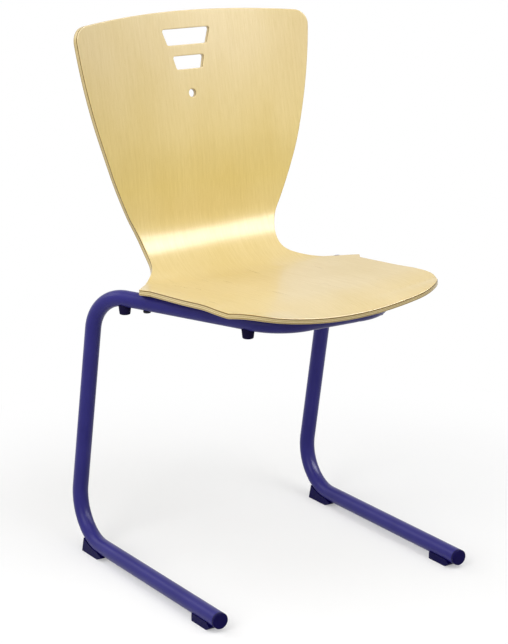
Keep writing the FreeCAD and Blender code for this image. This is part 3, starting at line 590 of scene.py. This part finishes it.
def softened_copy(name, node):
    """A copy of a construction mesh whose sharp edges are rounded."""
    bm = bmesh.new()
    bm.from_mesh(nodes[node].data)
    bmesh.ops.remove_doubles(bm, verts=bm.verts, dist=MERGE_DISTANCE)
    bmesh.ops.dissolve_limit(bm, angle_limit=FLAT_ANGLE, verts=bm.verts, edges=bm.edges)
    sharp = [edge for edge in bm.edges
             if edge.is_manifold and edge.calc_face_angle() > SHARP_ANGLE]
    bmesh.ops.bevel(bm, geom=sharp, offset=SOFT_EDGE * MM, offset_type="OFFSET",
                    segments=SOFT_EDGE_SEGMENTS, profile=0.5, affect="EDGES",
                    clamp_overlap=True, material=-1)
    piece = finish_piece(name, bm, [node])
    weigh_normals(piece)
    return piece


plastic_pieces = []
for end in ("rear", "front"):
    for side in ("left", "right"):
        node = f"foot_{end}_{side}"
        plastic_pieces.append(softened_copy(f"moulded_{node}", node))

# %% [markdown]
# The caps in the tube's ends and the buffers under the seat are round. The buffers are the
# studs that carry the chair when it hangs on a table. Both are spun from half a profile, as
# on a lathe, with the edge that hands and tables touch rounded.

# %% Caps and buffers turned on a lathe
LATHE_STEPS, PROFILE_ROUND_STEPS = 48, 5
CAP_HEAD, CAP_STEM, CAP_STEM_RADIUS, CAP_ROUND = 5.5, 18, 10.3, 1.4
STUD_LENGTH, STUD_RADIUS, STUD_ROUND = 12, 8.25, 1.5
STUD_ROOT, STUD_ROOT_RADIUS = 3, 10
STUD_PLACES = {"rear": (200.155, 74.582), "front": (117.482, -139.286)}


def turned(name, profile, centre, axis, slot_name, node):
    """Spin a half profile, given as distance along the axis and radius."""
    bm = bmesh.new()
    axis = Vector(axis)
    across = axis.orthogonal().normalized()
    verts = [bm.verts.new((Vector(centre) + axis * along + across * radius) * MM)
             for along, radius in profile]
    edges = [bm.edges.new(pair) for pair in zip(verts, verts[1:])]
    bmesh.ops.spin(bm, geom=verts + edges, cent=Vector(centre) * MM, axis=axis,
                   angle=math.tau, steps=LATHE_STEPS, use_merge=True)
    bmesh.ops.remove_doubles(bm, verts=bm.verts, dist=MERGE_DISTANCE)
    piece = finish_piece(name, bm, [node])
    weigh_normals(piece)
    return piece


def rounded_profile(points, radius):
    """A half profile whose outer corner, the second point, is rounded."""
    arc = rounded_corner(points[0], points[1], points[2], radius, PROFILE_ROUND_STEPS)
    return [points[0]] + [tuple(spot) for spot in arc] + points[2:]


cap_profile = rounded_profile([(CAP_HEAD, 0), (CAP_HEAD, TUBE_RADIUS), (0, TUBE_RADIUS),
                               (0, CAP_STEM_RADIUS), (-CAP_STEM, CAP_STEM_RADIUS),
                               (-CAP_STEM, 0)], CAP_ROUND)
stud_profile = rounded_profile([(-STUD_LENGTH, 0), (-STUD_LENGTH, STUD_RADIUS),
                                (STUD_ROOT, STUD_ROOT_RADIUS), (STUD_ROOT, 0)], STUD_ROUND)
rubber_pieces = []
for side, sign in (("left", 1), ("right", -1)):
    tube_end = (sign * RUNNER_HALF, HEEL_Y - RUNNER_LENGTH, RUNNER_Z)
    plastic_pieces.append(turned(f"round_end_cap_{side}", cap_profile, tube_end, (0, -1, 0),
                                 "navy_plastic", f"end_cap_{side}"))
    for end, (x, y) in STUD_PLACES.items():
        under_rail = (sign * x, y, RAIL_Z - TUBE_RADIUS)
        rubber_pieces.append(turned(f"stud_{end}_{side}", stud_profile, under_rail, (0, 0, 1),
                                    "navy_rubber", f"table_buffer_{end}_{side}"))

# %% [markdown]
# ## Finishes
# Colours are easiest to judge as they are read from a picture, from 0 to 255, but shaders
# count light, so each colour is turned into linear values first.

# %% Colours
WHITE = (1.0, 1.0, 1.0, 1.0)


def srgb(red, green, blue):
    """A colour as read from a picture, turned into the linear values that nodes want."""
    channels = []
    for value in (red, green, blue):
        value /= 255
        channels.append(value / 12.92 if value <= 0.04045 else ((value + 0.055) / 1.055) ** 2.4)
    return (*channels, 1)


def grey(level):
    """A plain number as a colour, for a ramp that drives roughness or a grey tone."""
    return (level, level, level, 1)


print("a middle grey of 128 is", round(srgb(128, 128, 128)[0], 3), "as a linear value")

# %% [markdown]
# A material is a small network of nodes. One helper makes a node and fills in its sockets,
# which keeps every recipe below readable from top to bottom. A Mix node has sockets for
# several kinds of data, and the four numbers here pick out those for colours.

# %% Recipe for a material
MIX_FACTOR, MIX_FIRST, MIX_SECOND, MIX_RESULT = 0, 6, 7, 2


class Recipe:
    """A material and short ways to add nodes to it."""

    def __init__(self, name):
        self.material = bpy.data.materials.new(name)
        self.material.use_nodes = True
        self.tree = self.material.node_tree
        self.shader = self.tree.nodes["Principled BSDF"]

    def node(self, kind, inputs=None, **settings):
        made = self.tree.nodes.new(kind)
        for key, value in settings.items():
            setattr(made, key, value)
        for socket, value in (inputs or {}).items():
            self.fill(made.inputs[socket], value)
        return made

    def fill(self, socket, value):
        if isinstance(value, bpy.types.NodeSocket):
            self.tree.links.new(value, socket)
        else:
            socket.default_value = value

    def math(self, operation, first, second=0.0):
        return self.node("ShaderNodeMath", {0: first, 1: second}, operation=operation).outputs[0]

    def noise(self, place, scale, detail=3.0, roughness=0.5):
        inputs = {"Vector": place, "Scale": scale, "Detail": detail, "Roughness": roughness}
        return self.node("ShaderNodeTexNoise", inputs).outputs["Fac"]

    def grain(self, place, per_metre, detail, roughness=0.5):
        """A noise of its own fineness across the sheet, along it and into it."""
        drawn_out = self.node("ShaderNodeMapping", {"Vector": place, "Scale": per_metre})
        return self.noise(drawn_out.outputs[0], 1.0, detail, roughness)

    def ramp(self, factor, stops):
        made = self.node("ShaderNodeValToRGB", {"Fac": factor})
        elements = made.color_ramp.elements
        while len(elements) < len(stops):
            elements.new(0.5)
        for element, (position, colour) in zip(elements, stops):
            element.position = position
            element.color = colour
        return made.outputs["Color"]

    def mix(self, factor, first, second, blend="MIX"):
        made = self.node("ShaderNodeMix", data_type="RGBA", blend_type=blend)
        self.fill(made.inputs[MIX_FACTOR], factor)
        self.fill(made.inputs[MIX_FIRST], first)
        self.fill(made.inputs[MIX_SECOND], second)
        return made.outputs[MIX_RESULT]

    def tint(self, colour, tone, share=1.0):
        """Darken a colour by a tone, as a thin stain does."""
        return self.mix(share, colour, tone, "MULTIPLY")

    def bump(self, height, strength, distance):
        inputs = {"Height": height, "Strength": strength, "Distance": distance}
        self.fill(self.shader.inputs["Normal"],
                  self.node("ShaderNodeBump", inputs).outputs["Normal"])

    def finish(self, **sockets):
        for name, value in sockets.items():
            self.fill(self.shader.inputs[name.replace("_", " ")], value)
        return self.material


def dress(piece, material):
    """Give a piece one material in place of what it had."""
    piece.data.materials.clear()
    piece.data.materials.append(material)


# %% [markdown]
# ** Lacquered beech.** Beech is pale and quiet: long faint streaks along the grain, short fine flecks, and a slow drift of colour over the whole face. Down the back the face is painted a warmer yellow, and it pales again in the seat. This is a painted sheen: the paler wood stands in for the white that the lacquer mirrors. All of it is driven by the place on the flat sheet, so the grain follows the bend.

# %% Face veneer
def veneer_grain(wood, place):
    """The noises of the face, from the widest to the finest."""
    return {
        "drift": wood.grain(place, per_metre=(9, 4, 1), detail=2.0),
        "streaks": wood.grain(place, per_metre=(260, 7, 30), detail=4.0, roughness=0.6),
        "fine": wood.grain(place, per_metre=(1500, 45, 100), detail=2.0),
        "flecks": wood.grain(place, per_metre=(2200, 420, 100), detail=1.0),
    }


def face_veneer(wood, grain, distance):
    """Colour of the face at a distance, in metres, below the top edge."""
    face = wood.ramp(grain["drift"], [(0.3, srgb(234, 214, 166)), (0.7, srgb(227, 205, 148))])
    # Painted sheen: the face is yellower down the back and paler at the top and in the seat,
    # standing in for the white that the lacquer mirrors.
    painted_sheen_tone = wood.ramp(distance, [(0.06, WHITE), (0.27, srgb(252, 250, 212)),
                                    (0.4, srgb(254, 253, 238)), (0.5, srgb(255, 254, 250))])
    face = wood.tint(face, painted_sheen_tone)
    streak_tone = wood.ramp(grain["streaks"], [(0.32, srgb(240, 236, 222)), (0.66, WHITE)])
    face = wood.tint(face, streak_tone, 0.38)
    fine_tone = wood.ramp(grain["fine"], [(0.35, srgb(240, 235, 220)), (0.6, WHITE)])
    face = wood.tint(face, fine_tone, 0.4)
    fleck_tone = wood.ramp(grain["flecks"], [(0.66, WHITE), (0.74, srgb(214, 192, 140))])
    return wood.tint(face, fleck_tone, 0.35)


# %% [markdown]
# The cut rim shows the plies, one light and the next darker, with thin glue lines between them, and
# the outer plies darker than the rest, as in the photograph. Next to the back that darkening is
# painted shade of the underside. Next to the face it is partly a darker ply and partly painted
# shade. The depth under the sitter's face alone says which ply a place belongs to, and whether it
# is face or rim. The lacquer is a thin coat over all of it, a little rough, so that it mirrors
# softly.

# %% Plies on the rim, and the whole wood
PLY_COUNT = 7
FACE_VENEER = 0.9
GLUE_FROM_MIDDLE, GLUE_SHARE = 0.44, 0.6


def cut_edge(wood, place, depth):
    """Colour of the plies at a depth, in metres."""
    ply = wood.math("MULTIPLY", depth, PLY_COUNT / (SHEET_THICKNESS * MM))
    within = wood.math("FRACT", ply)
    odd = wood.math("GREATER_THAN", wood.math("MODULO", ply, 2.0), 1.0)
    edge_grain = wood.grain(place, per_metre=(900, 900, 3000), detail=3.0)
    light_ply = wood.ramp(edge_grain, [(0.3, srgb(226, 206, 152)), (0.7, srgb(240, 222, 170))])
    dark_ply = wood.ramp(edge_grain, [(0.3, srgb(192, 166, 108)), (0.7, srgb(212, 188, 130))])
    plies = wood.mix(odd, light_ply, dark_ply)
    from_middle = wood.math("ABSOLUTE", wood.math("SUBTRACT", within, 0.5))
    glue = wood.math("GREATER_THAN", from_middle, GLUE_FROM_MIDDLE)
    plies = wood.mix(wood.math("MULTIPLY", glue, GLUE_SHARE), plies, srgb(126, 98, 58))
    into_sheet = wood.math("DIVIDE", depth, SHEET_THICKNESS * MM)
    # Painted shade: the plies next to the back are darkened as the shaded underside. Next to the
    # face the darker band is partly a darker ply and partly painted shade.
    painted_ply_shade = wood.ramp(into_sheet, [(0.1, srgb(160, 142, 92)), (0.27, srgb(166, 148, 98)),
                                         (0.33, WHITE), (0.7, WHITE),
                                         (0.95, srgb(172, 152, 100))])
    return wood.tint(plies, painted_ply_shade)


def beech():
    wood = Recipe("lacquered_beech_veneer")
    place = wood.node("ShaderNodeAttribute", attribute_name="flat_place").outputs["Vector"]
    parts = wood.node("ShaderNodeSeparateXYZ", {"Vector": place}).outputs
    distance, depth = parts["Y"], parts["Z"]
    grain = veneer_grain(wood, place)
    below_face = wood.math("GREATER_THAN", depth, FACE_VENEER * MM)
    above_back = wood.math("LESS_THAN", depth, (SHEET_THICKNESS - FACE_VENEER) * MM)
    colour = wood.mix(wood.math("MULTIPLY", below_face, above_back),
                      face_veneer(wood, grain, distance), cut_edge(wood, place, depth))
    roughness = wood.ramp(grain["streaks"], [(0.3, grey(0.34)), (0.7, grey(0.27))])
    wood.bump(wood.mix(0.5, grain["fine"], grain["streaks"]), strength=0.12, distance=0.00015)
    return wood.finish(Base_Color=colour, Roughness=roughness, Coat_Weight=0.22,
                       Coat_Roughness=0.2, Specular_IOR_Level=0.22)


dress(shell, beech())
print("beech on", shell.name)

# %% [markdown]
# **Powder coat.** The powder melts into a tough satin skin with the faint dimples of an
# orange peel, which a fine bump gives. Its blue drifts a little from place to place and has
# a dust-fine speckle. A clear coat on top would look like wet paint, so there is none.

# %% Powder coat
def powder_coat():
    coat = Recipe("blue_powder_coat")
    place = coat.node("ShaderNodeTexCoord").outputs["Object"]
    cloud = coat.noise(place, scale=14.0, detail=3.0)
    grit = coat.noise(place, scale=2600.0, detail=2.0)
    peel = coat.noise(place, scale=620.0, detail=2.0)
    blue = coat.ramp(cloud, [(0.3, srgb(42, 38, 116)), (0.7, srgb(50, 46, 128))])
    speckle = coat.ramp(grit, [(0.35, srgb(228, 228, 236)), (0.65, WHITE)])
    roughness = coat.ramp(cloud, [(0.3, grey(0.36)), (0.7, grey(0.3))])
    coat.bump(peel, strength=0.22, distance=0.00025)
    return coat.finish(Base_Color=coat.tint(blue, speckle, 0.6), Roughness=roughness,
                       Specular_IOR_Level=0.2)


dress(tube_piece, powder_coat())
print("powder coat on", tube_piece.name)

# %% [markdown]
# **Plastic, rubber and metal.** The feet and caps are moulded in a navy plastic with a fine
# spark-eroded grain, the studs are a duller rubber, the screws are blackened steel and the
# inserts bright zinc. All four are a grain that clouds the colour and roughens the skin, so
# one recipe makes them, with other numbers each time.

# %% Small finishes
def grained(name, dark, light, per_metre, smooth, rough, depth, metallic=0.0):
    skin = Recipe(name)
    place = skin.node("ShaderNodeTexCoord").outputs["Object"]
    grain = skin.noise(place, scale=per_metre, detail=3.0)
    cloud = skin.noise(place, scale=60.0, detail=2.0)
    colour = skin.ramp(skin.mix(0.4, cloud, grain), [(0.35, dark), (0.65, light)])
    roughness = skin.ramp(cloud, [(0.3, grey(smooth)), (0.7, grey(rough))])
    skin.bump(grain, strength=0.3, distance=depth)
    return skin.finish(Base_Color=colour, Roughness=roughness, Metallic=metallic,
                       Specular_IOR_Level=0.06)


plastic = grained("navy_plastic_skin", srgb(10, 5, 62), srgb(17, 10, 72), per_metre=1800.0,
                  smooth=0.42, rough=0.5, depth=0.0002)
rubber = grained("navy_rubber_skin", srgb(19, 14, 46), srgb(25, 20, 56), per_metre=1500.0,
                 smooth=0.6, rough=0.72, depth=0.0003)
screw_steel = grained("blackened_steel", srgb(40, 40, 46), srgb(58, 58, 64), per_metre=3000.0,
                      smooth=0.3, rough=0.4, depth=0.0001, metallic=0.8)
zinc = grained("zinc_plate", srgb(176, 178, 180), srgb(200, 202, 204), per_metre=900.0,
               smooth=0.28, rough=0.38, depth=0.0001, metallic=1.0)

for piece in plastic_pieces:
    dress(piece, plastic)
for piece in rubber_pieces:
    dress(piece, rubber)
dress(nodes["shell_screws"], screw_steel)
dress(nodes["shell_inserts"], zinc)
print("small finishes on", len(plastic_pieces) + len(rubber_pieces) + 2, "pieces")

# %% [markdown]
# ## Studio
# A wide floor runs far behind the chair. The photograph is cut out on white, so whatever
# looks at the floor directly or in a reflection sees white, while the light that bounces
# off it is dimmer, so that the chair isn't lit too much from below. Near the chair the
# white is only partly its own glow, and the floor keeps the chair's soft shadow there.

# %% Floor
FLOOR_HALF = 12
GLOW_FROM, GLOW_TO = 0.35, 0.9
LEAST_GLOW = 0.35

floor_bm = bmesh.new()
bmesh.ops.create_grid(floor_bm, x_segments=1, y_segments=1, size=FLOOR_HALF)
floor_mesh = bpy.data.meshes.new("studio_floor")
floor_bm.to_mesh(floor_mesh)
floor_bm.free()
floor = bpy.data.objects.new("studio_floor", floor_mesh)
bpy.context.scene.collection.objects.link(floor)

paper = Recipe("white_paper")
paper_place = paper.node("ShaderNodeTexCoord").outputs["Object"]
paper_tone = paper.ramp(paper.noise(paper_place, scale=30.0), [(0.3, grey(0.38)),
                                                              (0.7, grey(0.42))])
rays = paper.node("ShaderNodeLightPath").outputs
looked_at = paper.math("MAXIMUM", rays["Is Camera Ray"], rays["Is Glossy Ray"])
looked_at = paper.math("MAXIMUM", looked_at, rays["Is Transmission Ray"])
from_chair = paper.node("ShaderNodeVectorMath", {0: paper_place}, operation="LENGTH")
glow_share = paper.node("ShaderNodeMapRange", {"Value": from_chair.outputs["Value"],
                                               "From Min": GLOW_FROM, "From Max": GLOW_TO,
                                               "To Min": LEAST_GLOW, "To Max": 1.0},
                        interpolation_type="SMOOTHSTEP").outputs[0]
paper.finish(Base_Color=paper.mix(looked_at, paper_tone, WHITE), Roughness=0.9)
glow = paper.node("ShaderNodeEmission", {"Color": WHITE, "Strength": 1.0})
blend = paper.node("ShaderNodeMixShader", {0: paper.math("MULTIPLY", looked_at, glow_share),
                                           1: paper.shader.outputs[0],
                                           2: glow.outputs[0]})
paper.fill(paper.tree.nodes["Material Output"].inputs["Surface"], blend.outputs[0])
dress(floor, paper.material)
print("the floor reaches", FLOOR_HALF, "m to each side")

# %% [markdown]
# The sky works in the same way: white where it is looked at, and dimmer as a light. Its
# level is set so that a colour comes out about as it is written.

# %% Sky
SKY_LIGHT, SKY_WHITE = 0.46, 1.0

world = bpy.data.worlds.new("studio_sky")
bpy.context.scene.world = world
world.use_nodes = True
sky = world.node_tree
background = sky.nodes["Background"]
sky_rays = sky.nodes.new("ShaderNodeLightPath").outputs
seen = sky.nodes.new("ShaderNodeMath")
seen.operation = "MAXIMUM"
sky.links.new(sky_rays["Is Camera Ray"], seen.inputs[0])
sky.links.new(sky_rays["Is Transmission Ray"], seen.inputs[1])
seen_or_mirrored = sky.nodes.new("ShaderNodeMath")
seen_or_mirrored.operation = "MAXIMUM"
sky.links.new(seen.outputs[0], seen_or_mirrored.inputs[0])
sky.links.new(sky_rays["Is Glossy Ray"], seen_or_mirrored.inputs[1])
level = sky.nodes.new("ShaderNodeMapRange")
level.inputs["To Min"].default_value = SKY_LIGHT
level.inputs["To Max"].default_value = SKY_WHITE
sky.links.new(seen_or_mirrored.outputs[0], level.inputs["Value"])
sky.links.new(level.outputs[0], background.inputs["Strength"])
background.inputs["Color"].default_value = WHITE
print("sky light", SKY_LIGHT, "of white")

# %% [markdown]
# Four soft lamps light the chair: one overhead, one like a window at the left of the
# picture, a weaker one in front and one behind. The photograph also has a bright band
# across the foot of the back, where the wood mirrors something large and bright. A panel
# that shows in reflections only gives that band and leaves the other light as it is.

# %% Lamps
CHAIR_MIDDLE = (0, 0, 0.45)
FOOT_OF_BACK = (0, 0.15, 0.48)


def soft_lamp(name, spot, target, width, height, power):
    """A rectangular lamp at a spot, turned to its target. Sizes in metres, power in watts."""
    lamp = bpy.data.lights.new(name, "AREA")
    lamp.shape = "RECTANGLE"
    lamp.size = width
    lamp.size_y = height
    lamp.energy = power
    holder = bpy.data.objects.new(name, lamp)
    aim = (Vector(target) - Vector(spot)).to_track_quat("-Z", "Y")
    holder.matrix_world = Matrix.LocRotScale(Vector(spot), aim, None)
    bpy.context.scene.collection.objects.link(holder)
    print(name, power, "W")
    return holder


soft_lamp("overhead_lamp", (-0.5, -0.4, 3.2), CHAIR_MIDDLE, width=2.4, height=2.0, power=16)
soft_lamp("window_lamp", (-2.7, -1.0, 1.9), CHAIR_MIDDLE, width=1.6, height=2.0, power=40)
soft_lamp("front_lamp", (0.5, -2.0, 2.4), CHAIR_MIDDLE, width=1.8, height=1.2, power=24)
soft_lamp("rear_lamp", (-1.9, 2.2, 2.3), CHAIR_MIDDLE, width=1.8, height=1.6, power=20)
panel = soft_lamp("shine_panel", (1.34, -1.33, 1.99), FOOT_OF_BACK, width=2.5, height=1.0,
                  power=145)
panel.visible_diffuse = False

# %% [markdown]
# The camera repeats the photograph: a long lens, held higher than the chair, at the
# sitter's right front. Its three axes are written out, which fixes it exactly.

# %% Camera
CAMERA_SPOT = (-1.70317, -2.55615, 1.23565)
SENSOR_WIDTH, LENS = 36, 115.616

camera_data = bpy.data.cameras.new("portrait_camera")
camera_data.sensor_width = SENSOR_WIDTH
camera_data.lens = LENS
camera = bpy.data.objects.new("portrait_camera", camera_data)
azimuth = math.radians(-33.44)
elevation = math.radians(15.54)
back = Vector((math.sin(azimuth) * math.cos(elevation),
               -math.cos(azimuth) * math.cos(elevation), math.sin(elevation)))
across = Vector((math.cos(azimuth), math.sin(azimuth), 0))
upward = back.cross(across)
axes = Matrix((across, upward, back)).transposed().to_4x4()
camera.matrix_world = Matrix.Translation(CAMERA_SPOT) @ axes
bpy.context.scene.collection.objects.link(camera)
bpy.context.scene.camera = camera
bpy.context.scene.view_settings.view_transform = "Standard"
print("camera at", [round(value, 3) for value in camera.matrix_world.translation])
